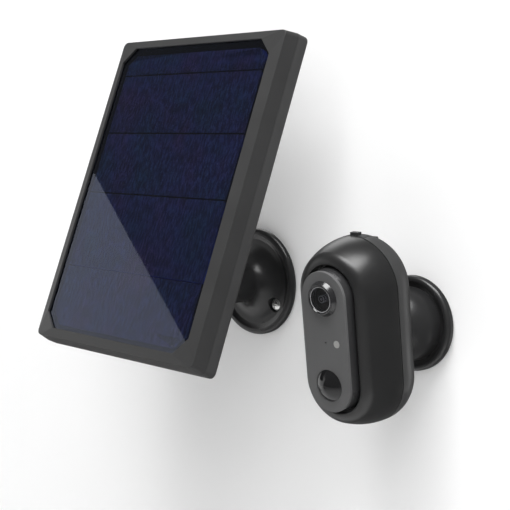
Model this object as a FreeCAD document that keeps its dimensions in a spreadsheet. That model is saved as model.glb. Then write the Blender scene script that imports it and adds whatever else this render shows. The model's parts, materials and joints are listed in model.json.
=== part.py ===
import FreeCAD, Part
import math
import os
import re
import Sketcher
from FreeCAD import Placement, Rotation, Vector

# Solar-powered security camera: a solar panel on a ball arm and a battery camera on a
# magnetic dome, side by side on one wall.
# Millimetres.  X runs along the wall, +Y into it, +Z up.  The origin is the centre of the
# panel base's back face, which lies on the wall plane y = 0.
# The panel's pieces are drawn in the panel's frame: X right, Y into the panel from its front
# face, Z up its face, origin at the middle of the front face.  The camera's pieces are drawn
# in the camera's frame in the same way, with the origin in the middle of its face plate.

doc = FreeCAD.newDocument("solar_security_camera")
dim = doc.addObject("Spreadsheet::Sheet", "dim")

DIMENSIONS = (
    # solar panel
    ("panel_width", 137.8), ("panel_height", 185), ("panel_depth", 16.3), ("panel_corner", 3),
    ("panel_tilt", 21.2), ("bezel_depth", 8.6), ("bezel_flare", 1.75), ("back_flare", 2.15),
    ("back_edge", 1.8), ("case_wall", 2.2), ("rim_rise", 1.87), ("window_width", 125.1),
    ("window_height", 174.5), ("window_corner", 9), ("glass_drop", 1.3), ("glass_depth", 1),
    ("glass_lap", 1.6), ("cell_depth", 0.4), ("cell_gap", 0.9), ("cell_width", 117.3),
    ("cell_height", 168.5), ("cell_drop", 0.75), ("ribbon_depth", 0.25), ("board_depth", 1.6),
    ("panel_seal_depth", 0.8), ("panel_seal_inset", 1), ("screw_inset", 6.5), ("post_radius", 3.5),
    ("insert_drop", 38.1), ("insert_radius", 5.5), ("thread_radius", 3.175), ("cord_rise", 22),
    ("base_radius", 32.5), ("base_rim", 4.6), ("base_web", 3.2), ("flare_radius", 24),
    ("neck_radius", 11.5), ("neck_start", 13), ("ball_reach", 36), ("ball_radius", 8.5),
    ("lip_reach", 3), ("seat_depth", 1.2), ("seat_angle", 34), ("pocket_angle", 62),
    ("rod_radius", 4), ("arm_length", 47.1), ("nut_radius", 8), ("nut_depth", 6),
    ("base_screw_circle", 21.7), ("base_screw_angle", -35),
    # wall screws
    ("screw_head_radius", 3.7), ("screw_head_depth", 2.4), ("screw_shank_radius", 1.95),
    ("screw_length", 26), ("screw_floor", 2.2),
    # camera and its magnetic dome
    ("camera_offset", 120.35), ("camera_drop", 11.04), ("camera_pan", 0.8), ("camera_pitch", 7.26),
    ("dome_radius", 20), ("dome_reach", 11.5), ("dome_flange", 25.8), ("dome_rim", 5),
    ("dome_wall", 2), ("steel_depth", 1.2), ("plate_radius", 16.4), ("plate_depth", 3),
    ("ball_behind", 60.7), ("ball_below", 5.9), ("pad_gap", 0.2), ("pad_depth", 0.9),
    ("pad_angle", 24), ("cup_radius", 15.42), ("cup_front", 36.8), ("magnet_radius", 9),
    ("magnet_depth", 2.2),
    # camera housing: every section across it is a stadium, round a straight upright spine
    ("spine_half", 22.5), ("body_radius", 26.6), ("lip_radius", 16.3), ("lip_depth", 4.85),
    ("lip_round", 6), ("waist_depth", 29.6), ("seam_depth", 25.5), ("body_depth", 45.2),
    ("rear_round", 15.6), ("shell_wall", 2.2), ("mouth_radius", 15.6), ("rim_depth", 9.2),
    ("seal_depth", 0.7),
    # camera face
    ("face_radius", 13.6), ("face_depth", 1.7), ("module_base", 14.9), ("module_flange", 18.6),
    ("eye_height", 22.3), ("eye_radius", 6.5), ("ring_radius", 9), ("ring_reach", 2.3),
    ("barrel_radius", 5), ("pir_radius", 8.1), ("pir_reach", 3.4), ("sensor_side", 7),
    ("sensor_radius", 1.85), ("mic_radius", 0.45),
    # inside the camera
    ("cell_radius", 9.1), ("cell_length", 65), ("cell_pitch", 18.8), ("cell_seat", 26.3),
    ("pcb_depth", 1.2),
    ("screw_side", 12.5), ("screw_drop", 39), ("screw_seat", 38.2),
    # port cover on the crown
    ("port_width", 13), ("port_front", 26.6), ("port_back", 37), ("port_gap", 0.35),
    ("port_hinge_radius", 1.1),
)
ALIASES = {name for name, size in DIMENSIONS}


def fill_sheet():
    for row, (name, size) in enumerate(DIMENSIONS, start=1):
        dim.set("A%d" % row, name)
        dim.set("B%d" % row, str(size))
        dim.setAlias("B%d" % row, name)
    doc.recompute()


def cells(text):
    """The expression with every sheet alias in it pointed at the sheet."""
    return re.sub(r"[a-z]\w*", lambda word: "dim." + word[0] if word[0] in ALIASES else word[0],
                  str(text))


def val(text):
    return float(dim.evalExpression(cells(text)))


def bind(thing, **sizes):
    for name, text in sizes.items():
        setattr(thing, name, val(text))
        thing.setExpression(name, cells(text))
    return thing


def shift(thing, x=0, y=0, z=0):
    """Move a primitive to a place that stays bound to the sheet."""
    thing.Placement.Base = Vector(val(x), val(y), val(z))
    for axis, text in (("x", x), ("y", y), ("z", z)):
        thing.setExpression("Placement.Base." + axis, cells(text))
    return thing


# ---------------------------------------------------------------- sketches and bodies

def plane(body, role):
    return next(item for item in body.Origin.OriginFeatures if item.Role == role)


def arc_middle(start, end, radius):
    """Middle point of the short arc; a positive radius has its centre left of the way."""
    chord = end - start
    half = chord.Length / 2
    rise = abs(radius) - math.sqrt(max(radius * radius - half * half, 0))
    left = Vector(-chord.y, chord.x, 0).normalize()
    return (start + end) * 0.5 - left * math.copysign(rise, radius)


def outline(body, role, corners, lift="0"):
    """A closed sketch through corners (x, y) or (x, y, radius of the side that arrives)."""
    sketch = body.newObject("Sketcher::SketchObject", body.Name + "_outline")
    sketch.AttachmentSupport = [(plane(body, role), "")]
    sketch.MapMode = "FlatFace"
    sketch.AttachmentOffset = Placement(Vector(0, 0, val(lift)), Rotation())
    sketch.setExpression("AttachmentOffset.Base.z", cells(lift))
    spots = [Vector(val(corner[0]), val(corner[1]), 0) for corner in corners]
    rules = []
    texts = []
    ends = []
    for index, corner in enumerate(corners):
        start, end = spots[index - 1], spots[index]
        if len(corner) == 3:
            radius = val(corner[2])
            sketch.addGeometry(Part.Arc(start, arc_middle(start, end, radius), end), False)
            flipped = (sketch.getPoint(index, 1) - start).Length > (sketch.getPoint(index, 1) - end).Length
            ends.append((2, 1) if flipped else (1, 2))
            rules.append(Sketcher.Constraint("Radius", index, abs(radius)))
            texts.append("abs(%s)" % corner[2])
        else:
            sketch.addGeometry(Part.LineSegment(start, end), False)
            ends.append((1, 2))
        rules.append(Sketcher.Constraint("DistanceX", -1, 1, index, ends[index][1], end.x))
        rules.append(Sketcher.Constraint("DistanceY", -1, 1, index, ends[index][1], end.y))
        texts += [corner[0], corner[1]]
    for index in range(len(corners)):
        rules.append(Sketcher.Constraint("Coincident", index - 1 if index else len(corners) - 1,
                                         ends[index - 1][1], index, ends[index][0]))
    sketch.addConstraint(rules)
    for number, text in enumerate(texts):
        sketch.setExpression("Constraints[%d]" % number, cells(text))
    return sketch


def new_body(name):
    return doc.addObject("PartDesign::Body", name)


def turn(body, corners, role="XY_Plane", axis="V_Axis", angle=360, lift="0", back=False):
    feature = body.newObject("PartDesign::Revolution", body.Name + "_turn")
    feature.Profile = outline(body, role, corners, lift)
    feature.ReferenceAxis = (feature.Profile[0], [axis])
    feature.Angle = angle
    feature.Reversed = back
    return feature


def turned(name, corners):
    """A body of revolution round its Y axis, from (radius, y) corners."""
    body = new_body(name)
    turn(body, corners)
    return body


def pad(body, corners, length, role="XY_Plane", lift="0"):
    feature = body.newObject("PartDesign::Pad", body.Name + "_pad")
    feature.Profile = outline(body, role, corners, lift)
    return bind(feature, Length=length)


def padded(name, corners, length, role="XZ_Plane", lift="0"):
    body = new_body(name)
    pad(body, corners, length, role, lift)
    return body


def mirrored(body, feature, role):
    mirror = body.newObject("PartDesign::Mirrored", body.Name + "_mirror")
    mirror.Originals = [feature]
    mirror.MirrorPlane = (plane(body, role), [""])
    body.Tip = mirror
    return mirror


def capsule(name, corners, spine="spine_half"):
    """The (radius, depth) section carried round an upright spine: two half turns for the
    ends, and straight sides between them."""
    body = new_body(name)
    turn(body, corners, angle=180, lift=spine, back=True)
    side = pad(body, corners, "2 * " + spine, lift="-" + spine)
    doc.recompute()
    mirrored(body, side, "YZ_Plane")
    turn(body, corners, angle=180, lift="-" + spine)
    return body


def box(name, length, width, height, x=0, y=0, z=0):
    """A block centred on x and z, with its front face at y."""
    block = bind(doc.addObject("Part::Box", name), Length=length, Width=width, Height=height)
    return shift(block, "%s - (%s) / 2" % (x, length), y, "%s - (%s) / 2" % (z, height))


def rod(name, radius, length, x=0, y=0, z=0):
    """A cylinder along +Y from y."""
    bar = bind(doc.addObject("Part::Cylinder", name), Radius=radius, Height=length)
    bar.Placement.Rotation = Rotation(Vector(1, 0, 0), -90)
    return shift(bar, x, y, z)


def post(name, radius, height, x=0, y=0, z=0):
    """An upright cylinder, centred on z."""
    bar = bind(doc.addObject("Part::Cylinder", name), Radius=radius, Height=height)
    return shift(bar, x, y, "%s - (%s) / 2" % (z, height))


def joined(name, pieces):
    result = doc.addObject("Part::MultiFuse", name)
    result.Shapes = pieces
    return result


def cut(name, base, tools):
    result = doc.addObject("Part::Cut", name)
    result.Base = base
    result.Tool = tools[0] if len(tools) == 1 else joined(name + "_tools", tools)
    return result


def common(name, base, tool):
    result = doc.addObject("Part::Common", name)
    result.Base = base
    result.Tool = tool
    return result


def group(name, pieces):
    """One node made of separate solids, such as a set of screws, or of one plain solid."""
    result = doc.addObject("Part::Compound", name)
    result.Links = pieces
    return result


# ---------------------------------------------------------------- the two units' frames

nodes = []


def panel_pose():
    """The panel's frame: the arm leaves the ball square to the panel's back."""
    tilt = Rotation(Vector(1, 0, 0), -val("panel_tilt"))
    ball = Vector(0, -val("ball_reach"), 0)
    away = Vector(0, -val("arm_length + panel_depth"), val("insert_drop"))
    return Placement(ball + tilt.multVec(away), tilt)


def camera_pose():
    """The camera's frame: the cup in its back sits on the dome."""
    aim = Rotation(Vector(0, 0, 1), val("camera_pan")) * Rotation(Vector(1, 0, 0), val("camera_pitch"))
    ball = Vector(val("camera_offset"), -val("dome_reach"), -val("camera_drop"))
    return Placement(ball + aim.multVec(Vector(0, -val("ball_behind"), val("ball_below"))), aim)


def dome_pose():
    return Placement(Vector(val("camera_offset"), 0, -val("camera_drop")), Rotation())


def arm_pose():
    """The arm's frame: Y runs back along the rod, with the ball's centre at the origin."""
    return Placement(Vector(0, -val("ball_reach"), 0), Rotation(Vector(1, 0, 0), -val("panel_tilt")))


def keep(piece, pose=None):
    """Mark a piece as a sub-part, label it with its node name and put it in its place."""
    if pose:
        piece.Placement = pose * piece.Placement
    nodes.append(piece)
    return piece


# ---------------------------------------------------------------- screws

def wall_screw(name, x, z, floor):
    """A round-head wood screw with a cross recess, its head on a floor in front of the wall and
    a slimmer neck until it has entered the wall."""
    neck_end = str(floor + 0.4)
    body = turned(name + "_blank", [
        ("0", "-screw_head_depth"), ("screw_head_radius", "0", "6"), ("screw_shank_radius - 0.25", "0"),
        ("screw_shank_radius - 0.25", neck_end), ("screw_shank_radius", neck_end),
        ("screw_shank_radius", "screw_length - 5"), ("0", "screw_length")])
    slots = [box(name + "_slot_a", "4.4", "1.6", "0.9", y="-screw_head_depth"),
             box(name + "_slot_b", "0.9", "1.6", "4.4", y="-screw_head_depth")]
    screw = cut(name, body, slots)
    screw.Placement = Placement(Vector(x, -floor, z), Rotation())
    return screw


def case_screw(name, x, y, z, head, shank, length):
    """A small cap screw whose head faces +Y, with a cross recess."""
    body = turned(name + "_blank", [
        ("0", "0"), (head, "0"), (head, "-1.6"), (shank, "-1.6"), (shank, "-" + length), ("0", "-" + length)])
    slots = [box(name + "_slot_a", "2.4", "0.9", "0.5", y="-0.9"),
             box(name + "_slot_b", "0.5", "0.9", "2.4", y="-0.9")]
    screw = cut(name, body, slots)
    screw.Placement = Placement(Vector(x, y, z), Rotation())
    return screw


# ---------------------------------------------------------------- solar panel

def clipped(width, height, corner):
    """A rectangle with its corners cut off."""
    w, t, c = "(%s) / 2" % width, "(%s) / 2" % height, "(%s)" % corner
    return [("-(%s - %s)" % (w, c), "-(%s)" % t), ("%s - %s" % (w, c), "-(%s)" % t),
            (w, "-(%s - %s)" % (t, c)), (w, "%s - %s" % (t, c)),
            ("%s - %s" % (w, c), t), ("-(%s - %s)" % (w, c), t),
            ("-(%s)" % w, "%s - %s" % (t, c)), ("-(%s)" % w, "-(%s - %s)" % (t, c))]


def rounded(width, height, radius):
    """A rectangle with round corners."""
    w, t, r = "(%s) / 2" % width, "(%s) / 2" % height, radius
    return [("-(%s - %s)" % (w, r), "-(%s)" % t, r), ("%s - %s" % (w, r), "-(%s)" % t),
            (w, "-(%s - %s)" % (t, r), r), (w, "%s - %s" % (t, r)),
            ("%s - %s" % (w, r), t, r), ("-(%s - %s)" % (w, r), t),
            ("-(%s)" % w, "%s - %s" % (t, r), r), ("-(%s)" % w, "-(%s - %s)" % (t, r))]


def slab(name, corners, depth, front):
    """A flat piece of the panel: its outline across the face, from front to front + depth."""
    return padded(name, corners, depth, lift="-(%s) - (%s)" % (front, depth))


def lofted(name, levels):
    """A solid of the panel with flat sides between its outlines: (outline, depth) pairs."""
    body = new_body(name)
    sketches = [outline(body, "XZ_Plane", corners, "-(%s)" % depth) for corners, depth in levels]
    loft = body.newObject("PartDesign::AdditiveLoft", name + "_loft")
    loft.Profile = sketches[0]
    loft.Sections = sketches[1:]
    loft.Ruled = True
    return body


glass_front = "(glass_drop - rim_rise)"
cell_front = "(%s + glass_depth)" % glass_front
ribbon_front = "(%s + cell_depth)" % cell_front
board_front = "(%s + ribbon_depth)" % ribbon_front
board_back = "(%s + board_depth)" % board_front
cord_height = "(cord_rise - panel_height / 2)"


def case_outline(flare):
    """The case's outline where its sides have flared out by this much."""
    return rounded("panel_width + 2 * %s" % flare, "panel_height + 2 * %s" % flare, "panel_corner")


def window_outline(lap):
    """The window's outline, or the outline of a sheet that laps under the rim by this much."""
    return clipped("window_width + 2 * %s" % lap, "window_height + 2 * %s" % lap,
                   "window_corner + 0.6 * %s" % lap)


def panel_bezel():
    """Front shell: a rim round the window, borders that slope back from it, and flared sides."""
    shell = lofted("bezel_shell", [(window_outline("0"), "-rim_rise"), (case_outline("0"), "0"),
                                   (case_outline("bezel_flare"), "bezel_depth")])
    window = slab("bezel_window", window_outline("0"), "glass_drop + 2", "-rim_rise - 1")
    seat = slab("bezel_seat", window_outline("glass_lap"), "%s - %s" % (board_back, glass_front), glass_front)
    room = box("bezel_room", "panel_width - 2 * case_wall", "bezel_depth",
               "panel_height - 2 * case_wall", y=board_back)
    groove = seal_ring("seal_groove", "0.05")
    frame = cut("bezel_frame", shell, [window, seat, room, groove])
    posts = []
    pilots = []
    for number, (x, z) in enumerate(corner_places()):
        posts.append(rod("bezel_post_%d" % number, "post_radius", "bezel_depth - 0.5", x, "0.5", z))
        pilots.append(rod("bezel_pilot_%d" % number, "1.15", "bezel_depth", x, "2.5", z))
    keep(cut("panel_bezel", joined("bezel_solid", [frame] + posts), pilots), panel_pose())


def seal_ring(name, slack):
    """A ring for the groove in the bezel's back edge, grown on all sides by some slack."""
    reach = "(bezel_flare - panel_seal_inset + %s)" % slack
    inner_reach = "(bezel_flare - panel_seal_inset - 1 - %s)" % slack
    depth = "panel_seal_depth + %s" % slack
    front = "bezel_depth - panel_seal_depth - %s" % slack
    outer = slab(name + "_outer", case_outline(reach), depth, front)
    inner = slab(name + "_inner", case_outline(inner_reach), depth, front)
    return cut(name, outer, [inner])


def panel_seal():
    keep(seal_ring("panel_seal", "0"), panel_pose())


def corner_places():
    x = val("panel_width / 2 - screw_inset")
    z = val("panel_height / 2 - screw_inset")
    return [(side * x, level * z) for side in (-1, 1) for level in (-1, 1)]


def panel_back_cover():
    """Back shell, with posts for the corner screws and a boss for the arm's insert."""
    front = "(bezel_depth + 0.05)"
    levels = [(case_outline("bezel_flare"), front)]
    for angle in (0, 22.5, 45, 67.5, 90):
        drawn_in = "back_edge * (1 - %s)" % polar("1", angle, "cos")
        left_over = "back_edge * (1 - %s)" % polar("1", angle)
        levels.append((case_outline("(back_flare - %s)" % drawn_in), "panel_depth - %s" % left_over))
    block = lofted("back_block", levels)
    room = box("back_room", "panel_width - 2 * case_wall", "panel_depth - case_wall - bezel_depth",
               "panel_height - 2 * case_wall", y="bezel_depth")
    hollow = cut("back_hollow", block, [room])
    bosses = [rod("insert_boss", "insert_radius + 3.5", "8", y="panel_depth - 8", z="-insert_drop")]
    holes = [rod("insert_hole", "insert_radius", "12", y="panel_depth - 9", z="-insert_drop"),
             rod("cord_hole", "4", "10", x="0", y="panel_depth - 5", z=cord_height)]
    for number, (x, z) in enumerate(corner_places()):
        bosses.append(rod("boss_%d" % number, "post_radius", "panel_depth - bezel_depth - 1", x, front, z))
        holes.append(rod("boss_pilot_%d" % number, "1.15", "panel_depth", x, "3", z))
        holes.append(rod("boss_sink_%d" % number, "2.9", "5", x, "panel_depth - 2.2", z))
    solid = joined("back_solid", [hollow] + bosses)
    keep(cut("panel_back_cover", solid, holes), panel_pose())


def panel_case_screws():
    screws = [case_screw("panel_screw_%d" % number, x, val("panel_depth") - 0.6, z, "2.7", "1.1", "12")
              for number, (x, z) in enumerate(corner_places())]
    keep(group("panel_case_screws", screws), panel_pose())


# heights of the gaps between the strips of cells, up the panel's face
strip_cuts = [70.2, 33.7, -3.5, -48.8]


def cell_strips():
    """Top and bottom of each strip of cells, measured up the panel's face."""
    top = val("cell_height / 2 - cell_drop")
    low = -val("cell_height / 2 + cell_drop")
    half_gap = val("cell_gap") / 2
    edges = [top] + strip_cuts + [low]
    return [(upper - half_gap, lower + half_gap) for upper, lower in zip(edges, edges[1:])]


def laminate_sheet(name, depth, front):
    """One flat layer of the laminate, held under the rim with a little room at its edge."""
    keep(slab(name, window_outline("(glass_lap - 0.3)"), depth, front), panel_pose())


def solar_laminate():
    laminate_sheet("panel_glass", "glass_depth", glass_front)
    frame = slab("cell_frame", clipped("cell_width", "cell_height + 2 * cell_drop", "window_corner - 1"),
                 "cell_depth", cell_front)
    strips = []
    ribbons = []
    for number, (upper, lower) in enumerate(cell_strips()):
        strip = box("strip_block_%d" % number, "cell_width", "cell_depth", str(upper - lower),
                    y=cell_front, z=str((upper + lower) / 2))
        strips.append(common("strip_%d" % number, frame, strip))
        for column, x in enumerate((-40, 0, 40)):
            if number:
                ribbons.append(box("ribbon_%d_%d" % (number, column), "2", "ribbon_depth", "16",
                                   x=str(x), y=ribbon_front, z=str(upper)))
    keep(group("solar_cells", strips), panel_pose())
    keep(group("cell_ribbons", ribbons), panel_pose())
    laminate_sheet("cell_board", "board_depth", board_front)


def panel_circuit():
    """The small board with the blocking diode that the cord is soldered to."""
    board = box("panel_circuit_board", "26", "pcb_depth", "16", y=board_back, z=cord_height)
    face = "%s + pcb_depth" % board_back
    diode = box("panel_diode", "5", "2.4", "3", x="-6", y=face, z=cord_height)
    terminal = box("panel_terminal", "8", "3", "5", x="6", y=face, z=cord_height)
    keep(joined("panel_circuit", [board, diode, terminal]), panel_pose())


def cord_bushing():
    """Rubber bushing where the panel's lead leaves the back."""
    bushing = turned("cord_bushing", [
        ("1.7", "-4"), ("3.9", "-4"), ("3.9", "0.2"), ("5.6", "0.2"), ("5.6", "1.4"), ("3.4", "5"),
        ("1.7", "5")])
    spot = Vector(0, val("panel_depth"), val(cord_height))
    keep(bushing, panel_pose() * Placement(spot, Rotation()))


def threaded_insert():
    insert = turned("threaded_insert", [
        ("thread_radius", "-8.4"), ("insert_radius", "-8.4"), ("insert_radius", "-0.5"),
        ("thread_radius + 0.6", "-0.5"), ("thread_radius", "-1.1")])
    keep(insert, panel_pose() * Placement(Vector(0, val("panel_depth"), -val("insert_drop")), Rotation()))


# ---------------------------------------------------------------- arm and wall base

def polar(radius, angle, side="sin"):
    return "(%s) * %s(%s * 1 deg)" % (radius, side, angle)


def ball_arm():
    """Ball, rod and the threaded end that screws into the panel's back."""
    ball_root = "sqrt(ball_radius ^ 2 - rod_radius ^ 2)"
    tip = "arm_length + 7.5"
    arm = turned("ball_arm", [
        ("0", "ball_radius", "ball_radius"), ("0", "-(%s)" % tip), ("thread_radius - 0.55", "-(%s)" % tip),
        ("thread_radius - 0.05", "-(%s - 0.5)" % tip), ("thread_radius - 0.05", "-arm_length + 9"),
        ("rod_radius", "-arm_length + 9"), ("rod_radius", "-(%s)" % ball_root),
        ("ball_radius", "0", "ball_radius")])
    keep(arm, arm_pose())


def lock_nut():
    """Knurled nut on the thread, tight against the panel's back."""
    face = "-arm_length + 0.3"
    blank = turned("lock_nut_blank", [
        ("thread_radius", face), ("nut_radius - 0.6", face), ("nut_radius", face + " + 0.6"),
        ("nut_radius", face + " + nut_depth - 0.6"), ("nut_radius - 0.6", face + " + nut_depth"),
        ("thread_radius", face + " + nut_depth")])
    flutes = []
    for number in range(16):
        angle = number * 360 / 16
        flutes.append(rod("lock_nut_flute_%d" % number, "0.75", "nut_depth + 1",
                          "nut_radius * cos(%s deg)" % angle, face + " - 0.5",
                          "nut_radius * sin(%s deg)" % angle))
    keep(cut("arm_lock_nut", blank, flutes), arm_pose())


def ball_seat():
    """Friction seat behind the ball."""
    inner, outer = "ball_radius + 0.1", "ball_radius + 0.1 + seat_depth"
    seat = turned("ball_seat", [
        ("0", inner), (polar(inner, "seat_angle"), polar(inner, "seat_angle", "cos"), "-(%s)" % inner),
        (polar(outer, "seat_angle"), polar(outer, "seat_angle", "cos")), ("0", outer, outer)])
    keep(seat, Placement(Vector(0, -val("ball_reach"), 0), Rotation()))


def panel_base():
    socket = "(ball_radius + 0.1)"
    pocket = "(ball_radius + 0.2 + seat_depth)"
    lip = "-ball_reach - lip_reach"
    base = turned("panel_base_turned", [
        ("0", "0"), ("base_radius - 0.8", "0"), ("base_radius", "-0.8"), ("base_radius", "-base_rim + 2.4"),
        ("base_radius - 2.4", "-base_rim", "-2.4"), ("base_radius - 3.4", "-base_rim"),
        ("flare_radius + 2", "-base_web", "10"), ("flare_radius", "-base_web"),
        ("neck_radius", "-neck_start", "12.2"), ("neck_radius", lip + " + 1.5"),
        ("neck_radius - 1.5", lip, "-1.5"), ("sqrt(%s ^ 2 - lip_reach ^ 2)" % socket, lip),
        (polar(socket, "pocket_angle"), "-ball_reach + " + polar(socket, "pocket_angle", "cos"), socket),
        (polar(pocket, "pocket_angle"), "-ball_reach + " + polar(pocket, "pocket_angle", "cos")),
        ("0", "-ball_reach + " + pocket, pocket)])
    tools = []
    for number in range(2):
        angle = "(base_screw_angle + %d) * 1 deg" % (number * 180)
        x, z = "base_screw_circle * cos(%s)" % angle, "base_screw_circle * sin(%s)" % angle
        tools.append(rod("base_hole_%d" % number, "screw_shank_radius + 0.2", "20", x, "-10", z))
        tools.append(rod("base_sink_%d" % number, "screw_head_radius + 0.9", "20", x, "-screw_floor - 20", z))
    tools.append(box("base_notch", "4", "5", "3.4", y="-neck_start - 1.2", z="-neck_radius - 1.6"))
    keep(cut("panel_base", base, tools))


def panel_base_screws():
    screws = []
    for number in range(2):
        angle = math.radians(val("base_screw_angle") + number * 180)
        radius = val("base_screw_circle")
        screws.append(wall_screw("base_screw_%d" % number, radius * math.cos(angle),
                                 radius * math.sin(angle), val("screw_floor") + 0.02))
    keep(group("panel_base_screws", screws))


# ---------------------------------------------------------------- magnetic dome

def camera_dome():
    """Hollow dome with its flange, clipped over the wall plate."""
    inner = "(dome_radius - dome_wall)"
    dome = turned("camera_dome", [
        ("dome_flange - 0.8", "0"), ("dome_flange", "-0.8"), ("dome_flange", "-dome_rim + 2"),
        ("dome_flange - 2", "-dome_rim", "-2"), ("dome_flange - 2.7", "-dome_rim"),
        ("dome_radius", "-3.6", "5"), ("dome_radius", "-dome_reach"),
        ("0", "-dome_reach - dome_radius", "-dome_radius"), ("0", "-dome_reach - " + inner),
        (inner, "-dome_reach", inner), (inner, "-1.8"), ("dome_flange - 2.4", "-1.8"),
        ("dome_flange - 2.4", "0")])
    keep(dome, dome_pose())


def dome_steel():
    """Pressed steel shell under the dome's skin, which the magnet pulls on."""
    outer = "(dome_radius - dome_wall - 0.05)"
    inner = "(dome_radius - dome_wall - 0.05 - steel_depth)"
    low = "70"
    steel = turned("dome_steel", [
        ("0", "-dome_reach - " + outer, "-" + outer), ("0", "-dome_reach - " + inner),
        (polar(inner, low), "-dome_reach - " + polar(inner, low, "cos"), inner),
        (polar(outer, low), "-dome_reach - " + polar(outer, low, "cos"))])
    keep(steel, dome_pose())


def wall_plate():
    plate = turned("plate_blank", [
        ("0", "0"), ("plate_radius + 1.4", "0"), ("plate_radius + 1.4", "-1.6"), ("plate_radius", "-1.6"),
        ("plate_radius", "-plate_depth"), ("0", "-plate_depth")])
    tools = []
    for number, side in enumerate((-1, 1)):
        tools.append(rod("plate_hole_%d" % number, "screw_shank_radius + 0.2", "20", "%d * 9" % side, "-10"))
    keep(cut("camera_wall_plate", plate, tools), dome_pose())


def plate_screws():
    screws = [wall_screw("plate_screw_%d" % number, side * 9, 0, val("plate_depth") + 0.02)
              for number, side in enumerate((-1, 1))]
    keep(group("camera_base_screws", screws), dome_pose())


def cup_pose():
    return camera_pose() * Placement(Vector(0, val("ball_behind"), -val("ball_below")), Rotation())


def friction_pad():
    inner, outer = "(dome_radius + pad_gap)", "(dome_radius + pad_gap + pad_depth)"
    pad_body = turned("friction_pad", [
        ("0", "-" + outer), (polar(outer, "pad_angle"), "-" + polar(outer, "pad_angle", "cos"), outer),
        (polar(inner, "pad_angle"), "-" + polar(inner, "pad_angle", "cos")), ("0", "-" + inner, "-" + inner)])
    keep(pad_body, cup_pose())


def magnet_cup():
    """Concave cup in the camera's back, holding the magnet."""
    hollow = "(dome_radius + pad_gap + pad_depth + 0.1)"
    rim = "body_depth - ball_behind"
    front = "cup_front - ball_behind"
    floor = front + " + magnet_depth + 0.1"
    cup = turned("magnet_cup", [
        ("0", floor), ("magnet_radius + 0.1", floor), ("magnet_radius + 0.1", front), ("12.4", front),
        ("cup_radius", "-19.2"), ("cup_radius", rim), ("sqrt(%s ^ 2 - (%s) ^ 2)" % (hollow, rim), rim),
        ("0", "-" + hollow, "-" + hollow)])
    keep(cup, cup_pose())
    keep(group("cup_magnet", [rod("magnet_disc", "magnet_radius", "magnet_depth", y=front)]), cup_pose())


# ---------------------------------------------------------------- camera housing

swell = "(body_radius - lip_radius)"
reach = "(waist_depth - lip_depth)"
side_round = "((%s ^ 2 + %s ^ 2 - 2 * %s * lip_round) / (2 * (%s - lip_round)))" % (swell, reach, reach, swell)
side_run = "(%s - lip_round)" % side_round
blend_x = "((%s - %s) / %s)" % (side_round, swell, side_run)
blend_y = "((%s - lip_round) / %s)" % (reach, side_run)


def shoulder(inset="0"):
    """Where the small front arc runs into the long side arc."""
    radius = "(%s - %s)" % ("lip_round", inset)
    return ("lip_radius + %s * %s" % (radius, blend_x),
            "lip_depth + lip_round - %s * %s" % (radius, blend_y))


def side_at(depth, inset="0"):
    """Radius of the side at a depth in front of the waist."""
    radius = "(%s - %s)" % (side_round, inset)
    return "body_radius - %s + sqrt(%s ^ 2 - (waist_depth - (%s)) ^ 2)" % (side_round, radius, depth)


def front_housing():
    inset = "shell_wall"
    shell = capsule("front_shell", [
        ("mouth_radius", "rim_depth"), ("mouth_radius", "lip_depth + 0.7"), ("lip_radius", "lip_depth", "0.8"),
        shoulder() + ("lip_round",), (side_at("seam_depth"), "seam_depth", side_round),
        (side_at("seam_depth", inset), "seam_depth"),
        shoulder(inset)[:1] + ("rim_depth", "-(%s - %s)" % (side_round, inset))])
    slots = [box("grille_%d" % number, "1.3", "9", "12", x=str(3 * number), y="14", z="-46")
             for number in range(-2, 3)]
    posts, bores = screw_posts("front", "17", "seam_depth - 17", "1.35")
    keep(cut("front_housing", joined("front_solid", [shell] + posts), slots + bores), camera_pose())


def screw_posts(side_name, start, length, bore):
    """The two posts that the housing screws run in, and their bores."""
    posts = []
    bores = []
    for number, side in enumerate((-1, 1)):
        x = "%d * screw_side" % side
        posts.append(rod("%s_post_%d" % (side_name, number), "3.2", length, x, start, "-screw_drop"))
        bores.append(rod("%s_bore_%d" % (side_name, number), bore, "30", x, start, "-screw_drop"))
    return posts, bores


def housing_seal():
    front = "seam_depth + 0.05"
    seal = capsule("housing_seal", [
        (side_at("seam_depth", "1.7"), front), (side_at("seam_depth", "0.5"), front),
        (side_at("seam_depth", "0.5"), "%s + seal_depth" % front),
        (side_at("seam_depth", "1.7"), "%s + seal_depth" % front)])
    keep(seal, camera_pose())


def port_block(name, gap):
    """The space of the port cover through the crown, with a knuckle at its back edge."""
    block = box(name + "_block", "port_width + 2 * (%s)" % gap, "port_back - port_front + (%s)" % gap, "14",
                y="port_front", z="50")
    knuckle = bind(doc.addObject("Part::Cylinder", name + "_knuckle"),
                   Radius="port_hinge_radius + %s" % gap, Height="port_width + 2 * (%s)" % gap)
    knuckle.Placement.Rotation = Rotation(Vector(0, 1, 0), 90)
    shift(knuckle, "-port_width / 2 - (%s)" % gap, "port_back", port_axis_height())
    return block, knuckle


def port_axis_height():
    """Height of the hinge axis: its knuckle is just under the crown's surface."""
    return "spine_half + body_radius - rear_round + sqrt(rear_round ^ 2 - (port_back - waist_depth) ^ 2) - 1.3"


def rear_outline(inset, seam):
    radius = "(rear_round - %s)" % inset
    return [(side_at(seam, inset), seam),
            ("body_radius - %s" % inset, "waist_depth", "%s - %s" % (side_round, inset)),
            ("body_radius - rear_round", "body_depth - %s" % inset, radius)]


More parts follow.
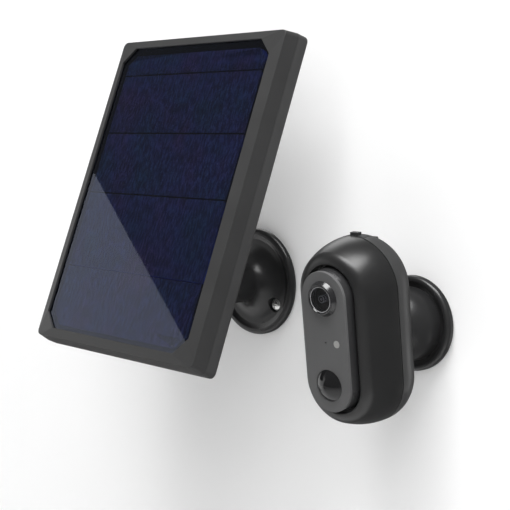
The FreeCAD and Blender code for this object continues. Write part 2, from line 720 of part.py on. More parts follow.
def rear_housing():
    inset = "shell_wall"
    seam = "seam_depth + seal_depth + 0.1"
    outside = rear_outline("0", seam)
    inside = rear_outline(inset, seam)
    shell = capsule("rear_shell", outside + [
        ("0", "body_depth"), ("0", "body_depth - %s" % inset), inside[2][:2],
        inside[1][:2] + ("-(rear_round - %s)" % inset,), inside[0] + ("-(%s - %s)" % (side_round, inset),)])
    opening = rod("cup_opening", "cup_radius + 0.08", "20", y="body_depth - 8", z="-ball_below")
    block, knuckle = port_block("port_room", "port_gap")
    floor = box("port_floor", "port_width + 5", "port_back - port_front + 5", "1.6",
                y="port_front + 0.2", z="43.2")
    window = box("port_window", "10.2", "8.6", "6", y="port_front + 1.6", z="43.2")
    inside_crown = capsule("crown_limit", [
        ("0", "seam_depth + 1")] + rear_outline("0.4", "seam_depth + 1") + [("0", "body_depth - 0.4")])
    posts, bores = screw_posts("rear", seam, "body_depth - (%s)" % seam, "1.4")
    inner_parts = common("rear_inner_parts", joined("rear_inner_blocks", [floor] + posts), inside_crown)
    sinks = [rod("rear_sink_%d" % number, "2.9", "12", "%d * screw_side" % side, "screw_seat - 1.62",
                 "-screw_drop") for number, side in enumerate((-1, 1))]
    solid = joined("rear_solid", [cut("rear_open", shell, [opening, block, knuckle]), inner_parts])
    keep(cut("rear_housing", solid, [window] + bores + sinks), camera_pose())


def port_cover():
    """Rubber flap over the charging port, with a lifting tab at the seam."""
    front = "seam_depth + 0.8"
    inside = rear_outline("2", front)
    skin = capsule("cover_skin", rear_outline("0", front) + [
        ("0", "body_depth"), ("0", "body_depth - 2"), inside[2][:2],
        inside[1][:2] + ("-(rear_round - 2)",), inside[0] + ("-(%s - 2)" % side_round,)])
    block = box("cover_block", "port_width", "port_back - port_front - port_hinge_radius - 0.2", "14",
                y="port_front + 0.3", z="50")
    flap = common("cover_flap", skin, block)
    arm = box("cover_strap", "port_width", "port_hinge_radius + 1.6", "1.2",
              y="port_back - port_hinge_radius - 1.4", z=port_axis_height())
    knuckle = port_block("cover", "0")[1]
    tab = box("cover_tab", "5", "3", "2.2", y="port_front + 0.3", z="spine_half + body_radius + 0.3")
    keep(joined("port_cover", [flap, arm, knuckle, tab]), camera_pose())


def housing_screws():
    screws = [case_screw("housing_screw_%d" % number, side * val("screw_side"), val("screw_seat"),
                         -val("screw_drop"), "2.6", "1.3", "15") for number, side in enumerate((-1, 1))]
    keep(group("housing_screws", screws), camera_pose())


# ---------------------------------------------------------------- camera face

def face_plate():
    blank = capsule("face_blank", [
        ("0", "0"), ("face_radius - 0.35", "0"), ("face_radius", "0.35", "0.35"), ("face_radius", "face_depth"),
        ("0", "face_depth")])
    holes = [rod("face_eye", "ring_radius - 1.3", "10", y="-5", z="eye_height"),
             rod("face_pir", "pir_radius + 0.1", "10", y="-5", z="-eye_height"),
             rod("face_light", "sensor_radius + 0.05", "10", "sensor_side", "-5"),
             rod("face_mic", "mic_radius", "10", y="-5")]
    keep(cut("face_plate", blank, holes), camera_pose())


def face_module():
    blank = capsule("module_blank", [
        ("0", "face_depth + 0.02"), ("face_radius", "face_depth + 0.02"), ("module_base", "rim_depth + 0.1"),
        ("module_flange", "rim_depth + 0.1"), ("module_flange", "rim_depth + 1.5"),
        ("face_radius - 0.6", "rim_depth + 1.5"), ("face_radius - 1.6", "face_depth + 1.6"),
        ("0", "face_depth + 1.6")])
    holes = [rod("module_eye", "ring_radius - 1.3", "10", y="-5", z="eye_height"),
             rod("module_pir", "pir_radius + 0.1", "10", y="-5", z="-eye_height"),
             rod("module_light", "sensor_radius + 0.05", "10", "sensor_side", "-5"),
             rod("module_mic", "mic_radius", "10", y="-5")]
    keep(cut("face_module", blank, holes), camera_pose())


def eye_pose(height="eye_height"):
    return camera_pose() * Placement(Vector(0, 0, val(height)), Rotation())


def lens_parts():
    """Lens ring, window, barrel, lens elements and the sensor behind them."""
    inner = "eye_radius"
    keep(turned("lens_ring", [
        (inner + " + 0.05", "-ring_reach + 0.5"), (inner + " + 0.35", "-ring_reach"),
        (inner + " + 0.8", "-ring_reach"),
        (inner + " + 1.2", "-ring_reach + 0.4", "0.4"), ("ring_radius", "-0.02"),
        ("ring_radius - 1.4", "-0.02"),
        ("ring_radius - 1.4", "face_depth + 1.6"), (inner + " - 0.7", "face_depth + 1.6"),
        (inner + " - 0.7", "-ring_reach + 1.4"), (inner + " + 0.05", "-ring_reach + 1.4")]), eye_pose())
    keep(turned("lens_window", [
        ("0", "-ring_reach + 0.5"), (inner, "-ring_reach + 0.5"), (inner, "-ring_reach + 1.35"),
        ("0", "-ring_reach + 1.35")]), eye_pose())
    keep(turned("lens_barrel", [
        ("1.9", "0.9"), ("4.2", "-0.3"), ("barrel_radius", "-0.3"), ("barrel_radius", "12.2"), ("3.4", "12.2"),
        ("3.4", "2.6"), ("1.9", "2.6")]), eye_pose())
    front = turned("front_element", [("0", "0.2"), ("1.8", "0.9", "3"), ("1.8", "2"), ("0", "2")])
    rear = turned("rear_element", [("0", "6"), ("3.3", "6.8", "7"), ("3.3", "8.2"), ("0", "8.2")])
    keep(group("lens_elements", [front, rear]), eye_pose())
    keep(group("image_sensor", [box("sensor_chip", "6.4", "0.9", "5.2", y="12.4")]), eye_pose())
    keep(group("sensor_board", [box("sensor_card", "18", "pcb_depth", "18", y="13.35")]), eye_pose())
    leds = [rod("led_%d" % number, "0.36", "1.5", "%d * 5.4" % side, "-0.2")
            for number, side in enumerate((-1, 1))]
    keep(group("infrared_leds", leds), eye_pose())


def cap_radius(width, height):
    """Radius of the ball whose cap has this half width and height."""
    return "((%s ^ 2 + %s ^ 2) / (2 * %s))" % (width, height, height)


def small_face_parts():
    keep(turned("light_sensor", [
        ("0", "-0.05"), ("sensor_radius", "-0.05"), ("sensor_radius", "face_depth + 1.65"),
        ("sensor_radius + 0.7", "face_depth + 1.65"), ("sensor_radius + 0.7", "face_depth + 2.6"),
        ("0", "face_depth + 2.6")]), camera_pose() * Placement(Vector(val("sensor_side"), 0, 0), Rotation()))
    keep(group("microphone", [rod("mic_can", "2.6", "1.8", y="face_depth + 1.65")]), camera_pose())
    outer = cap_radius("pir_radius", "pir_reach")
    inner = cap_radius("(pir_radius - 0.9)", "(pir_reach - 0.6)")
    keep(turned("pir_lens", [
        ("0", "-pir_reach"), ("pir_radius", "0", outer), ("pir_radius", "face_depth + 1.65"),
        ("pir_radius + 1.4", "face_depth + 1.65"), ("pir_radius + 1.4", "face_depth + 2.6"),
        ("pir_radius - 0.9", "face_depth + 2.6"), ("pir_radius - 0.9", "0.3"),
        ("0", "-pir_reach + 0.9", "-" + inner)]), eye_pose("-eye_height"))
    keep(turned("pir_sensor", [
        ("0", "3.4"), ("4", "3.4"), ("4", "8.4"), ("4.7", "8.4"), ("4.7", "9"), ("0", "9")]),
        eye_pose("-eye_height"))


# ---------------------------------------------------------------- inside the camera

def main_board():
    board = box("board_blank", "22", "pcb_depth", "42", y="11.2", z="-11")
    chip = box("board_chip", "9", "1", "9", y="11.2 + pcb_depth", z="-4")
    radio = box("board_radio", "12", "1.4", "9", y="11.2 + pcb_depth", z="-20")
    keep(joined("main_board", [board, chip, radio]), camera_pose())


def batteries():
    cells_pair = []
    for number, side in enumerate((-1, 1)):
        spot = "%d * cell_pitch / 2" % side
        can = post("cell_can_%d" % number, "cell_radius", "cell_length - 1.6", spot, "cell_seat", "-0.8")
        nub = post("cell_nub_%d" % number, "3", "1.6", spot, "cell_seat", "cell_length / 2 - 0.8")
        cells_pair.append(joined("cell_%d" % number, [can, nub]))
    keep(group("battery_cells", cells_pair), camera_pose())
    end = "cell_length / 2 + 0.75"
    back = box("holder_back", "34", "0.9", "cell_length + 3", y="cell_seat + cell_radius + 0.1")
    ends = [box("holder_end_%d" % number, "34", "cell_radius * 2 + 0.6", "1.4",
                y="cell_seat - cell_radius + 0.4",
                z="%d * (%s)" % (side, end)) for number, side in enumerate((-1, 1))]
    keep(joined("battery_holder", [back] + ends), camera_pose())


def speaker():
    keep(group("speaker", [post("speaker_can", "7.6", "3.6", y="18.4", z="-39")]), camera_pose())


def antenna():
    keep(group("wifi_antenna", [box("antenna_strip", "16", "0.6", "5", y="15.6", z="38")]), camera_pose())


def port_parts():
    """Charging socket, memory card reader and reset button on a board under the port cover."""
    level = 40.2
    card = box("port_card", "17", "11.4", "pcb_depth", y="port_front - 0.6", z=str(level))
    keep(group("port_board", [card]), camera_pose())
    top = "%s + pcb_depth / 2" % level
    shell = box("usb_shell", "7.6", "5.6", "2.9", x="-1", y="port_front + 1.9", z=top + " + 1.47")
    mouth = box("usb_mouth", "6.8", "4.8", "3", x="-1", y="port_front + 2.3", z=top + " + 2.2")
    keep(cut("usb_socket", shell, [mouth]), camera_pose())
    reader = box("reader_shell", "11", "9", "1.5", y="port_front + 0.4", z="%s - pcb_depth / 2 - 0.78" % level)
    keep(group("card_reader", [reader]), camera_pose())
    button = box("button_cap", "1.8", "1.8", "1.5", x="4.1", y="port_front + 4", z=top + " + 1.35")
    keep(group("reset_button", [button]), camera_pose())


# ---------------------------------------------------------------- build, check and write

def build_all():
    panel_bezel()
    panel_seal()
    panel_back_cover()
    panel_case_screws()
    solar_laminate()
    panel_circuit()
    cord_bushing()
    threaded_insert()
    ball_arm()
    lock_nut()
    ball_seat()
    panel_base()
    panel_base_screws()
    camera_dome()
    dome_steel()
    wall_plate()
    plate_screws()
    friction_pad()
    magnet_cup()
    front_housing()
    housing_seal()
    rear_housing()
    port_cover()
    housing_screws()
    face_plate()
    face_module()
    lens_parts()
    small_face_parts()
    main_board()
    batteries()
    speaker()
    antenna()
    port_parts()


def check_all():
    faults = [item.Name for item in doc.Objects if "Invalid" in item.State or "Error" in item.State]
    for piece in nodes:
        shape = piece.Shape
        if shape.isNull() or not shape.isValid() or not shape.Solids:
            faults.append(piece.Name + " has no valid solid")
    if faults:
        raise RuntimeError("not built: " + ", ".join(faults))


def write_all():
    os.makedirs("parts", exist_ok=True)
    for piece in nodes:
        piece.Label = piece.Name
        piece.Shape.exportStep("parts/%s.step" % piece.Label)
        print("%-20s solids %2d volume %10.1f" % (piece.Label, len(piece.Shape.Solids), piece.Shape.Volume))


fill_sheet()
build_all()
doc.recompute()
check_all()
write_all()
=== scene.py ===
"""Solar-powered security camera on a wall: finishes, lens rings painted as highlights and
reflections, stage, lights and camera.
"""
import json
import math
import bpy
from mathutils import Matrix, Vector


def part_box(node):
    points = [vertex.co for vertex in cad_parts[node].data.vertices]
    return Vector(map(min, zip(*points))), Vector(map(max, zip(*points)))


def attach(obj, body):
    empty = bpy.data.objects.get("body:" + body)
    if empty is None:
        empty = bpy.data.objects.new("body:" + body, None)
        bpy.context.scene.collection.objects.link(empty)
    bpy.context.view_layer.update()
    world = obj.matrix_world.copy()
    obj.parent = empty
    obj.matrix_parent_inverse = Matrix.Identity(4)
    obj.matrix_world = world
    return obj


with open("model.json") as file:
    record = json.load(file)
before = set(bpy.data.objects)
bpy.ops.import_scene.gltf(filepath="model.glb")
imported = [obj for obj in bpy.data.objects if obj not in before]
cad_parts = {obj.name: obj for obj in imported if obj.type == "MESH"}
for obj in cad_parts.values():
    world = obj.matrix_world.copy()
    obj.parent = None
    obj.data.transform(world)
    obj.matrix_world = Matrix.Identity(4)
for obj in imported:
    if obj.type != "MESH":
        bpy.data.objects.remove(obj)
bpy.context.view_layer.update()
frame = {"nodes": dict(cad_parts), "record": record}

nodes = frame["nodes"]
joints = {joint["name"]: joint for joint in frame["record"]["behaviour"]["joints"]}
MM = 0.001

# repeats of the materials' slow patterns, per metre
SHADE_RATE = 38
SPECK_MIX_RATE = 160
# how far the slow patterns move a plastic's colour either way
SHADE_SPREAD = 0.12
BEVEL_SAMPLES = 6


# ---------------------------------------------------------------- local frames, from the record

class Frame:
    """A right, back, up frame, with its origin in metres."""

    def __init__(self, origin, right, back):
        self.origin = Vector(origin)
        self.back = Vector(back).normalized()
        self.right = Vector(right).normalized()
        self.up = self.right.cross(self.back).normalized()

    def at(self, x, y, z):
        """The row-frame point x right, y back and z up of the origin, in millimetres."""
        return self.origin + MM * (x * self.right + y * self.back + z * self.up)


panel_front = Vector(joints["panel_turn"]["axis"])
camera_back = Vector(joints["camera_roll"]["axis"])
camera_right = -Vector(joints["port_cover_hinge"]["axis"])
window_low, window_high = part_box("lens_window")
eye = Frame((window_low + window_high) / 2, camera_right, camera_back)


# ---------------------------------------------------------------- materials

class Shader:
    """A node material being built, with short names for the nodes it uses most."""

    def __init__(self, name):
        self.material = bpy.data.materials.new(name)
        self.material.use_nodes = True
        self.tree = self.material.node_tree
        self.shader = self.tree.nodes["Principled BSDF"]
        self.place = self.add("ShaderNodeTexCoord").outputs["Object"]

    def add(self, kind, **settings):
        node = self.tree.nodes.new(kind)
        for key, value in settings.items():
            setattr(node, key, value)
        return node

    def link(self, start, end):
        self.tree.links.new(start, end)

    def mapped(self, rates, turn=(0, 0, 0)):
        """Coordinates in a turned frame, with its own number of repeats a metre on each axis."""
        node = self.add("ShaderNodeMapping", vector_type="TEXTURE")
        node.inputs["Scale"].default_value = [1 / rate for rate in rates]
        node.inputs["Rotation"].default_value = turn
        self.link(self.place, node.inputs["Vector"])
        return node.outputs["Vector"]

    def noise(self, scale, detail=3.0, rough=0.55, vector=None):
        node = self.add("ShaderNodeTexNoise")
        node.inputs["Scale"].default_value = scale
        node.inputs["Detail"].default_value = detail
        node.inputs["Roughness"].default_value = rough
        self.link(vector or self.place, node.inputs["Vector"])
        return node.outputs["Fac"]

    def ramp(self, value, stops):
        node = self.add("ShaderNodeValToRGB")
        band = node.color_ramp
        while len(band.elements) < len(stops):
            band.elements.new(0.5)
        for element, (spot, colour) in zip(band.elements, stops):
            element.position = spot
            element.color = (*colour, 1)
        self.link(value, node.inputs["Fac"])
        return node.outputs["Color"]

    def spread(self, value, low, high, start=0.3, end=0.7):
        node = self.add("ShaderNodeMapRange")
        limits = (("From Min", start), ("From Max", end), ("To Min", low), ("To Max", high))
        for key, number in limits:
            node.inputs[key].default_value = number
        self.link(value, node.inputs["Value"])
        return node.outputs["Result"]

    def blend(self, amount, first, second, mode="MIX"):
        node = self.add("ShaderNodeMix", data_type="RGBA", blend_type=mode)
        self.link(amount, node.inputs["Factor"])
        self.link(first, node.inputs["A"])
        self.link(second, node.inputs["B"])
        return node.outputs["Result"]

    def bump(self, height, depth, strength=1.0, under=None):
        node = self.add("ShaderNodeBump")
        node.inputs["Distance"].default_value = depth
        node.inputs["Strength"].default_value = strength
        self.link(height, node.inputs["Height"])
        if under:
            self.link(under, node.inputs["Normal"])
        return node.outputs["Normal"]

    def soft_edges(self, radius):
        node = self.add("ShaderNodeBevel", samples=BEVEL_SAMPLES)
        node.inputs["Radius"].default_value = radius
        return node.outputs["Normal"]


def scaled(colour, factor):
    return tuple(channel * factor for channel in colour)


def moulded(name, colour, rough, grain=1400, depth=0.02, coat=0.0, edge=0.3, specular=0.5,
            metal=0.0):
    """Moulded plastic, rubber or cast metal: a fine grain, slow changes of shade and gloss, and
    edges softened over a fraction of a millimetre. Depth and edge are in millimetres."""
    look = Shader(name)
    slow = look.noise(SHADE_RATE)
    fine = look.noise(grain, detail=2.0)
    shade = look.ramp(slow, [(0.3, scaled(colour, 1 - SHADE_SPREAD)),
                             (0.7, scaled(colour, 1 + SHADE_SPREAD))])
    speck = look.ramp(fine, [(0.35, scaled(colour, 1 - SHADE_SPREAD / 2)),
                             (0.65, scaled(colour, 1 + SHADE_SPREAD / 2))])
    fraction = look.spread(look.noise(SPECK_MIX_RATE), 0.25, 0.75)
    look.link(look.blend(fraction, shade, speck), look.shader.inputs["Base Color"])
    look.link(look.spread(slow, rough - 0.04, rough + 0.05), look.shader.inputs["Roughness"])
    rounded = look.soft_edges(edge * MM) if edge else None
    look.link(look.bump(fine, depth * MM, 0.6, rounded), look.shader.inputs["Normal"])
    look.shader.inputs["Metallic"].default_value = metal
    look.shader.inputs["Specular IOR Level"].default_value = specular
    look.shader.inputs["Coat Weight"].default_value = coat
    look.shader.inputs["Coat Roughness"].default_value = 0.08
    return look.material


def turned_metal(name, colour, rough):
    """Machined or plated metal with fine tool lines across one direction and slow stains."""
    look = Shader(name)
    lines = look.noise(1.0, 4.0, 0.6, look.mapped((60, 4200, 60)))
    stain = look.noise(90)
    shade = look.ramp(stain, [(0.3, scaled(colour, 0.82)), (0.7, scaled(colour, 1.08))])
    look.link(shade, look.shader.inputs["Base Color"])
    look.link(look.spread(lines, rough - 0.08, rough + 0.1), look.shader.inputs["Roughness"])
    look.link(look.bump(lines, 0.01 * MM, 0.5, look.soft_edges(0.15 * MM)),
              look.shader.inputs["Normal"])
    look.shader.inputs["Metallic"].default_value = 1.0
    return look.material


def cell_silicon():
    """Dark blue silicon with fine broken lines up the panel and slow drifts of hue."""
    look = Shader("cells_blue")
    tilt = (-math.asin(panel_front.z), 0, 0)
    streaks = look.noise(1.0, 1.0, 0.5, look.mapped((900, 900, 170), tilt))
    dots = look.noise(1.0, 2.0, 0.6, look.mapped((1000, 1000, 620), tilt))
    columns = look.noise(1.0, 1.0, 0.5, look.mapped((180, 0.1, 5), tilt))
    drift = look.noise(34, 3.0)
    navy = look.ramp(drift, [(0.3, (0.009, 0.016, 0.054)), (0.5, (0.011, 0.0135, 0.060)),
                             (0.7, (0.016, 0.012, 0.053))])
    light = look.ramp(drift, [(0.3, (0.024, 0.062, 0.165)), (0.5, (0.036, 0.048, 0.190)),
                              (0.7, (0.060, 0.038, 0.155))])
    marks = look.add("ShaderNodeMath", operation="MULTIPLY")
    look.link(look.spread(streaks, 0.0, 1.0, 0.40, 0.60), marks.inputs[0])
    look.link(look.spread(dots, 0.25, 1.0, 0.38, 0.58), marks.inputs[1])
    lifted = look.add("ShaderNodeMath", operation="MULTIPLY_ADD")
    look.link(look.spread(columns, 0.0, 0.12), lifted.inputs[0])
    lifted.inputs[1].default_value = 0.8
    look.link(marks.outputs[0], lifted.inputs[2])
    look.link(look.blend(lifted.outputs[0], navy, light), look.shader.inputs["Base Color"])
    look.link(look.spread(streaks, 0.34, 0.5), look.shader.inputs["Roughness"])
    look.link(look.bump(streaks, 0.006 * MM, 0.4), look.shader.inputs["Normal"])
    look.shader.inputs["Specular IOR Level"].default_value = 0.15
    return look.material


def clear_sheet(name, tint, rough, ior):
    """Clear glass or lens plastic that lets light through to what lies behind it."""
    look = Shader(name)
    dust = look.noise(420, 4.0)
    look.link(look.ramp(dust, [(0.3, scaled(tint, 0.97)), (0.7, tint)]),
              look.shader.inputs["Base Color"])
    look.link(look.spread(dust, rough, rough + 0.02), look.shader.inputs["Roughness"])
    look.shader.inputs["IOR"].default_value = ior
    look.shader.inputs["Transmission Weight"].default_value = 1.0
    see_through = look.add("ShaderNodeBsdfTransparent")
    see_through.inputs["Color"].default_value = (*tint, 1)
    path = look.add("ShaderNodeLightPath")
    shown = look.add("ShaderNodeMixShader")
    look.link(path.outputs["Is Shadow Ray"], shown.inputs["Fac"])
    look.link(look.shader.outputs["BSDF"], shown.inputs[1])
    look.link(see_through.outputs["BSDF"], shown.inputs[2])
    look.link(shown.outputs["Shader"], look.tree.nodes["Material Output"].inputs["Surface"])
    return look.material


def window_glass(name, tint, gleam):
    """A thin clear sheet of this tint, with a mirror gloss whose colour is the gleam."""
    look = Shader(name)
    haze = look.noise(30, 3.0)
    see_through = look.add("ShaderNodeBsdfTransparent")
    look.link(look.ramp(haze, [(0.3, scaled(tint, 0.96)), (0.7, tint)]),
              see_through.inputs["Color"])
    gloss = look.add("ShaderNodeBsdfGlossy")
    look.link(look.ramp(haze, [(0.3, scaled(gleam, 0.97)), (0.7, gleam)]),
              gloss.inputs["Color"])
    look.link(look.spread(haze, 0.014, 0.024), gloss.inputs["Roughness"])
    look.link(look.bump(haze, 0.01 * MM, 0.05), gloss.inputs["Normal"])
    fresnel = look.add("ShaderNodeFresnel")
    fresnel.inputs["IOR"].default_value = 1.5
    mixed = look.add("ShaderNodeMixShader")
    look.link(fresnel.outputs["Fac"], mixed.inputs["Fac"])
    look.link(see_through.outputs["BSDF"], mixed.inputs[1])
    look.link(gloss.outputs["BSDF"], mixed.inputs[2])
    look.link(mixed.outputs["Shader"], look.tree.nodes["Material Output"].inputs["Surface"])
    look.tree.nodes.remove(look.shader)
    return look.material


def circuit_green():
    """Solder mask with faint traces showing through."""
    look = Shader("board_green")
    traces = look.add("ShaderNodeTexBrick")
    traces.inputs["Scale"].default_value = 260
    traces.inputs["Mortar Size"].default_value = 0.06
    traces.inputs["Color1"].default_value = (0.006, 0.05, 0.018, 1)
    traces.inputs["Color2"].default_value = (0.005, 0.042, 0.016, 1)
    traces.inputs["Mortar"].default_value = (0.03, 0.13, 0.05, 1)
    look.link(look.place, traces.inputs["Vector"])
    look.link(traces.outputs["Color"], look.shader.inputs["Base Color"])
    look.link(look.spread(look.noise(500), 0.28, 0.4), look.shader.inputs["Roughness"])
    look.link(look.bump(traces.outputs["Fac"], 0.02 * MM, 0.5), look.shader.inputs["Normal"])
    return look.material


case_grey = moulded("case_grey", (0.028, 0.028, 0.0283), 0.44, grain=2600, depth=0.02, edge=0.45,
                    specular=0.3)
case_back = moulded("case_back", (0.04, 0.04, 0.0405), 0.5, grain=2600, depth=0.02, edge=0.45,
                    specular=0.3)
mount_grey = moulded("mount_grey", (0.015, 0.015, 0.0155), 0.3, grain=2400, depth=0.015, edge=0.4,
                     specular=0.32)
dome_black = moulded("dome_black", (0.015, 0.015, 0.0155), 0.34, grain=2000, depth=0.015, edge=0.3)
body_black = moulded("body_black", (0.0115, 0.0115, 0.0117), 0.33, grain=2600, depth=0.015,
                     edge=0.25)
# The rear housing's own black, lifted well above the front housing's: the lift is a painted
# reflection of the bright wall on its sides.
rear_tone_with_painted_sheen = moulded("rear_tone_with_painted_sheen", (0.034, 0.034, 0.0345), 0.38, grain=2600, depth=0.015, edge=0.25)
gloss_black = moulded("gloss_black", (0.026, 0.026, 0.027), 0.16, grain=700, depth=0.004,
                      edge=0.35, coat=0.4)
face_grey = moulded("face_grey", (0.078, 0.078, 0.0792), 0.62, grain=3200, depth=0.02, edge=0.15)
rubber = moulded("rubber_black", (0.012, 0.012, 0.012), 0.7, grain=1700, depth=0.04)
port_rubber = moulded("port_rubber", (0.02, 0.02, 0.021), 0.55, grain=2200, depth=0.02, edge=0.25)
barrel = moulded("barrel_black", (0.005, 0.005, 0.0055), 0.45, grain=2000, depth=0.02, edge=0.1)
ring_black = moulded("ring_black", (0.012, 0.012, 0.013), 0.22, grain=900, depth=0.006, edge=0.3,
                     coat=0.4)
chip = moulded("chip_black", (0.01, 0.01, 0.012), 0.3, grain=1500, depth=0.01, edge=0.1)
pale_pipe = moulded("light_pipe", (0.27, 0.27, 0.26), 0.35, grain=1800, depth=0.01, edge=0.1)
dome_lens = moulded("dome_lens_gloss", (0.007, 0.007, 0.0075), 0.1, grain=520, depth=0.003, edge=0,
                    coat=0.25, specular=0.3)
wrap = moulded("battery_wrap", (0.02, 0.09, 0.22), 0.32, grain=900, depth=0.01)
holder = moulded("holder_plastic", (0.03, 0.03, 0.032), 0.5)
speaker_cone = moulded("speaker_black", (0.012, 0.012, 0.013), 0.6, grain=1300, depth=0.05)
antenna_film = moulded("antenna_film", (0.35, 0.17, 0.03), 0.35, grain=1100, depth=0.01)
magnet_plate = moulded("magnet_plate", (0.55, 0.55, 0.56), 0.3, grain=1500, depth=0.01, metal=1.0)
button_grey = moulded("button_grey", (0.09, 0.09, 0.09), 0.5)
margin_black = moulded("margin_black", (0.0045, 0.0045, 0.006), 0.4, grain=1800, depth=0.01, edge=0)
seat_black = moulded("seat_black", (0.014, 0.014, 0.015), 0.45)
bright_steel = turned_metal("bright_steel", (0.72, 0.72, 0.71), 0.26)
dark_steel = turned_metal("dark_steel", (0.11, 0.11, 0.115), 0.38)
arm_steel = turned_metal("arm_steel", (0.055, 0.055, 0.058), 0.36)
brass = turned_metal("brass", (0.68, 0.47, 0.2), 0.3)
silicon = cell_silicon()
ribbon = turned_metal("ribbon_tin", (0.6, 0.6, 0.62), 0.3)
board = circuit_green()
panel_glass = window_glass("panel_window_glass", (0.97, 0.98, 0.985), (0.74, 0.80, 1.0))
lens_cover = window_glass("lens_cover_glass", (0.62, 0.63, 0.66), (0.8, 0.8, 0.82))
lens_glass = moulded("lens_coated", (0.006, 0.007, 0.011), 0.06, grain=300, depth=0.001, edge=0,
                     coat=0.6)
led_clear = clear_sheet("led_clear", (0.9, 0.9, 0.92), 0.04, 1.45)

finishes = {
    "panel_bezel": case_grey, "panel_back_cover": case_back, "panel_seal": rubber,
    "panel_case_screws": dark_steel, "panel_glass": panel_glass, "solar_cells": silicon,
    "cell_ribbons": ribbon, "cell_board": margin_black, "panel_circuit": board,
    "cord_bushing": rubber, "threaded_insert": brass, "ball_arm": arm_steel,
    "arm_lock_nut": dark_steel, "ball_seat": seat_black, "panel_base": mount_grey,
    "panel_base_screws": bright_steel,
    "camera_dome": dome_black, "dome_steel": magnet_plate, "camera_wall_plate": mount_grey,
    "camera_base_screws": bright_steel, "friction_pad": rubber, "magnet_cup": rear_tone_with_painted_sheen,
    "cup_magnet": magnet_plate, "front_housing": body_black, "housing_seal": rubber,
    "rear_housing": rear_tone_with_painted_sheen, "housing_screws": dark_steel, "face_plate": face_grey,
    "face_module": gloss_black, "lens_ring": ring_black, "lens_window": lens_cover,
    "lens_barrel": barrel, "lens_elements": lens_glass, "image_sensor": chip,
    "infrared_leds": led_clear, "light_sensor": pale_pipe, "microphone": barrel,
    "pir_lens": dome_lens, "pir_sensor": magnet_plate, "sensor_board": board, "main_board": board,
    "battery_cells": wrap, "battery_holder": holder, "speaker": speaker_cone,
    "wifi_antenna": antenna_film, "port_board": board, "usb_socket": bright_steel,
    "card_reader": bright_steel, "reset_button": button_grey, "port_cover": port_rubber,
}
for name, node in nodes.items():
    node.data.materials.clear()
    node.data.materials.append(finishes[name])


# ---------------------------------------------------------------- fine rings in the camera's eye: painted highlights and reflections

RING_STEPS = 72
SECTION_STEPS = 10
# millimetres back from the middle of the lens window
BEFORE_WINDOW = -0.375
BEHIND_WINDOW = 0.575


def ring_piece(name, place, radius, thickness, material):
    """A slim ring with a round section round the eye's axis, in millimetres."""
    corners = []
    for step in range(RING_STEPS):
        angle = 2 * math.pi * step / RING_STEPS
        outward = (math.cos(angle), math.sin(angle))
        for part in range(SECTION_STEPS):
            bend = 2 * math.pi * part / SECTION_STEPS
            reach = radius + thickness * math.cos(bend)
            corners.append(eye.at(reach * outward[0], place + thickness * math.sin(bend),
                                  reach * outward[1]))
    faces = []
    for step in range(RING_STEPS):
        here, after = step * SECTION_STEPS, (step + 1) % RING_STEPS * SECTION_STEPS
        for part in range(SECTION_STEPS):
            beside = (part + 1) % SECTION_STEPS
            faces.append((here + part, here + beside, after + beside, after + part))
    mesh = bpy.data.meshes.new(name)
    mesh.from_pydata(corners, [], faces)
    mesh.materials.append(material)
    for polygon in mesh.polygons:
        polygon.use_smooth = True
    mesh.update()
    piece = bpy.data.objects.new(name, mesh)
    bpy.context.scene.collection.objects.link(piece)
    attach(piece, "camera")


# Painted highlight: pale grey rings standing for the light caught on the edge of the lens window
# and on a ring inside it.
painted_glint_grey = moulded("painted_glint_grey", (0.40, 0.40, 0.41), 0.35, edge=0)
# Painted reflection: near-white rings standing for the glints off the lens elements and the iris at
# the lens's centre.
painted_lens_reflection = moulded("painted_lens_reflection", (0.62, 0.62, 0.65), 0.3, edge=0)
ring_piece("painted_window_edge_glint", BEFORE_WINDOW, 6.3, 0.16, painted_glint_grey)
ring_piece("painted_glass_ring_glint", BEHIND_WINDOW, 4.7, 0.14, painted_glint_grey)
ring_piece("painted_element_reflection", BEHIND_WINDOW, 1.7, 0.24, painted_lens_reflection)
ring_piece("painted_iris_reflection", BEHIND_WINDOW, 0.45, 0.24, painted_lens_reflection)


# ---------------------------------------------------------------- stage, light and camera

def one_sided(name, brightness):
    """A pale stage surface that is seen and lit from its front only."""
    look = Shader(name)
    look.tree.nodes.remove(look.shader)
    matt = look.add("ShaderNodeBsdfDiffuse")
    mottle = look.noise(6, 3.0)
    look.link(look.ramp(mottle, [(0.3, (brightness - 0.01,) * 3), (0.7, (brightness,) * 3)]),
              matt.inputs["Color"])
    clear = look.add("ShaderNodeBsdfTransparent")
    sides = look.add("ShaderNodeNewGeometry")
    mixed = look.add("ShaderNodeMixShader")
    look.link(sides.outputs["Backfacing"], mixed.inputs["Fac"])
    look.link(matt.outputs["BSDF"], mixed.inputs[1])
    look.link(clear.outputs["BSDF"], mixed.inputs[2])
    look.link(mixed.outputs["Shader"], look.tree.nodes["Material Output"].inputs["Surface"])
    return look.material


def stage_sheet(name, corners, material, mirrored):
    """A flat piece of the stage, which reflections show only if mirrored."""
    mesh = bpy.data.meshes.new(name)
    mesh.from_pydata(corners, [], [tuple(range(len(corners)))])
    mesh.materials.append(material)
    sheet = bpy.data.objects.new(name, mesh)
    bpy.context.scene.collection.objects.link(sheet)
    sheet.visible_glossy = mirrored


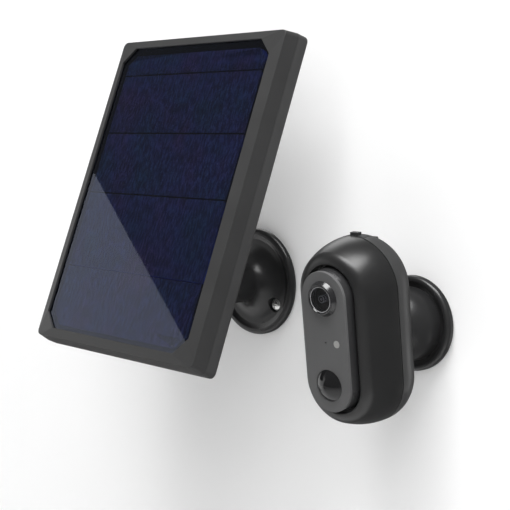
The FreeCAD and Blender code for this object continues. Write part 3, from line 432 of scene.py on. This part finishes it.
# metres; the wall stands just behind the wall mounts' faces
STAGE_HALF = 3.0
FLOOR_HEIGHT = -1.2
WALL_PLACE = 0.0004
STAGE_BRIGHTNESS = 0.93
pale = one_sided("pale_stage", STAGE_BRIGHTNESS)
back_left = (-STAGE_HALF, WALL_PLACE, FLOOR_HEIGHT)
back_right = (STAGE_HALF, WALL_PLACE, FLOOR_HEIGHT)
top_left = (-STAGE_HALF, WALL_PLACE, STAGE_HALF)
top_right = (STAGE_HALF, WALL_PLACE, STAGE_HALF)
front_left = (-STAGE_HALF, -STAGE_HALF, FLOOR_HEIGHT)
front_right = (STAGE_HALF, -STAGE_HALF, FLOOR_HEIGHT)
stage_sheet("stage_wall", [back_left, back_right, top_right, top_left], pale, mirrored=False)
stage_sheet("stage_floor", [front_left, front_right, back_right, back_left], pale, mirrored=True)


def soft_box(name, place, target, width, height, radiance, glossy=True, roll=0.0):
    """A rectangular light of this radiance, facing a target and rolled by degrees."""
    data = bpy.data.lights.new(name, "AREA")
    data.shape = "RECTANGLE"
    data.size = width
    data.size_y = height
    data.energy = radiance * math.pi * width * height
    light = bpy.data.objects.new(name, data)
    light.location = place
    aim = (Vector(target) - Vector(place)).to_track_quat("-Z", "Y").to_matrix()
    light.rotation_euler = (aim @ Matrix.Rotation(math.radians(roll), 3, "Z")).to_euler()
    light.visible_glossy = glossy
    light.visible_camera = False
    bpy.context.scene.collection.objects.link(light)


middle = (0.05, -0.05, 0.02)
# the fills light matt surfaces only, and the wall cards stand for reflections of the bright wall
soft_box("overhead", (0.4, -0.42, 1.5), (0.15, -0.12, 0), 1.4, 0.8, 12.0)
soft_box("key_soft", (0.60, -1.28, 1.68), middle, 1.5, 1.5, 1.55, glossy=False)
soft_box("fill_front", (0.6, -2.2, 0.9), middle, 2.4, 2.0, 0.3, glossy=False)
soft_box("fill_right", (1.7, -0.95, 0.9), middle, 1.8, 1.8, 2.0, glossy=False)
soft_box("glare_card", (-1.629, -0.679, -0.161), (-0.204, -0.007, -0.293), 1.6, 1.8, 1.12,
         roll=-25.75)
soft_box("wall_card_left", (-0.85, 0.72, 0.88), middle, 0.7, 0.7, 2.0)
soft_box("wall_card_right", (0.68, 1.10, -0.22), middle, 0.4, 0.9, 1.6)

WORLD_STRENGTH = 0.18
world = bpy.data.worlds.new("studio")
world.use_nodes = True
world.node_tree.nodes["Background"].inputs["Color"].default_value = (1, 1, 1, 1)
world.node_tree.nodes["Background"].inputs["Strength"].default_value = WORLD_STRENGTH
bpy.context.scene.world = world
bpy.context.scene.view_settings.view_transform = "Standard"

# metres and degrees
CAMERA_PLACE = (0.49280, -0.48533, 0.08975)
CAMERA_TURN = 45.62
CAMERA_DIP = 6.09
CAMERA_ROLL = 0.26
LENS_MM = 80.26
SENSOR_MM = 36
lens = bpy.data.cameras.new("view")
lens.lens = LENS_MM
lens.sensor_width = SENSOR_MM
lens.clip_start = 0.01
viewer = bpy.data.objects.new("view", lens)
viewer.location = CAMERA_PLACE
turned = Matrix.Rotation(math.radians(CAMERA_TURN), 3, "Z")
dipped = Matrix.Rotation(math.radians(90 - CAMERA_DIP), 3, "X")
rolled = Matrix.Rotation(math.radians(CAMERA_ROLL), 3, "Z")
viewer.rotation_euler = (turned @ dipped @ rolled).to_euler()
bpy.context.scene.collection.objects.link(viewer)
bpy.context.scene.camera = viewer
